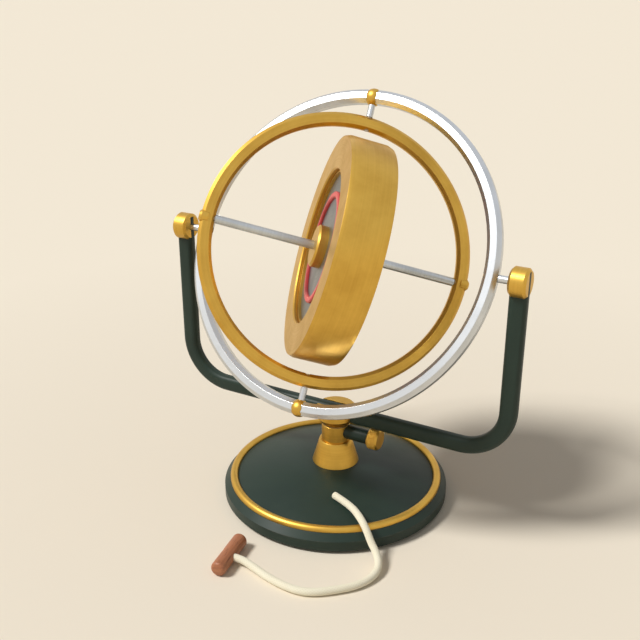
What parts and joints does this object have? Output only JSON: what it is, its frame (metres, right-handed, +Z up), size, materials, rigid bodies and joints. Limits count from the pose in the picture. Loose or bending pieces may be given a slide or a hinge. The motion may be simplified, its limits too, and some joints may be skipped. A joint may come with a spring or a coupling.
{
  "type": "gyroscope on stand",
  "caption": "Demonstration gyroscope: a heavy brass flywheel in two gimbal rings, carried by a swivelling yoke on a round base, with its pull cord.",
  "frame": {"origin": "on the column's axis, in the plane that the base stands on", "axes": "+Z up the column, X along the yoke's pivots, +Y from front to back"},
  "size_m": [0.243, 0.1942, 0.2617],
  "materials": {
    "enamel_green": "dark green stoving enamel over iron, glossy, a little worn at the edges",
    "brass": "turned and lacquered brass, softly polished",
    "felt": "green baize",
    "bearing_bronze": "plain bearing bronze, machined",
    "nickel": "bright nickel plate",
    "steel": "turned steel, satin",
    "red_enamel": "rose red enamel",
    "wood": "turned hardwood with a thin varnish",
    "cord": "braided cotton cord, unbleached"
  },
  "bodies": {
    "stand": {"base_casting": "enamel_green", "base_trim_ring": "brass", "base_felt_pad": "felt", "column_flare": "brass", "column_sleeve": "brass", "column_washer": "steel", "column_nut": "steel", "yoke_thrust_washer": "bearing_bronze", "lock_boss": "enamel_green"},
    "clamp_screw": {"lock_screw": "steel", "lock_knob": "brass"},
    "yoke": {"yoke_frame": "enamel_green", "yoke_hub": "brass", "yoke_stem": "steel", "left_trunnion_boss": "brass", "right_trunnion_boss": "brass", "left_yoke_pivot": "nickel", "right_yoke_pivot": "nickel"},
    "outer_gimbal": {"outer_ring": "nickel", "outer_ring_left_bush": "bearing_bronze", "outer_ring_right_bush": "bearing_bronze", "outer_ring_top_boss": "brass", "outer_ring_bottom_boss": "brass", "top_gimbal_pin": "nickel", "bottom_gimbal_pin": "nickel"},
    "inner_gimbal": {"inner_ring": "brass", "inner_ring_top_bush": "bearing_bronze", "inner_ring_bottom_bush": "bearing_bronze", "left_axle_bearing": "bearing_bronze", "right_axle_bearing": "bearing_bronze", "left_axle_boss": "brass", "right_axle_boss": "brass"},
    "flywheel": {"rotor_rim": "brass", "rotor_web": "steel", "rotor_left_red_band": "red_enamel", "rotor_right_red_band": "red_enamel", "rotor_left_hub": "brass", "rotor_right_hub": "brass", "rotor_axle": "steel"},
    "pull_cord_toggle": {"pull_handle": "wood", "pull_cord_knot": "cord", "pull_cord": "cord"}
  },
  "joints": [
    {"name": "yoke_swivel", "type": "hinge", "parent": "stand", "child": "yoke", "pos_m": [0, 0, 0.0534], "axis": [0, 0, 1], "continuous": true},
    {"name": "clamp_screw_turn", "type": "hinge", "parent": "stand", "child": "clamp_screw", "pos_m": [0.0273, 0, 0.0456], "axis": [1, 0, 0], "range_deg": [0, 360]},
    {"name": "outer_ring_tilt", "type": "hinge", "parent": "yoke", "child": "outer_gimbal", "pos_m": [0, 0, 0.1692], "axis": [1, 0, 0], "continuous": true},
    {"name": "inner_ring_turn", "type": "hinge", "parent": "outer_gimbal", "child": "inner_gimbal", "pos_m": [0, 0, 0.1692], "axis": [0, 0.4741, 0.8805], "continuous": true},
    {"name": "flywheel_spin", "type": "hinge", "parent": "inner_gimbal", "child": "flywheel", "pos_m": [0, 0, 0.1692], "axis": [0.7912, 0.5384, -0.2899], "continuous": true},
    {"name": "pull_cord_lift", "type": "slide", "parent": "stand", "child": "pull_cord_toggle", "axis": [0, 0, 1], "range_m": [0, 0.04]}
  ]
}
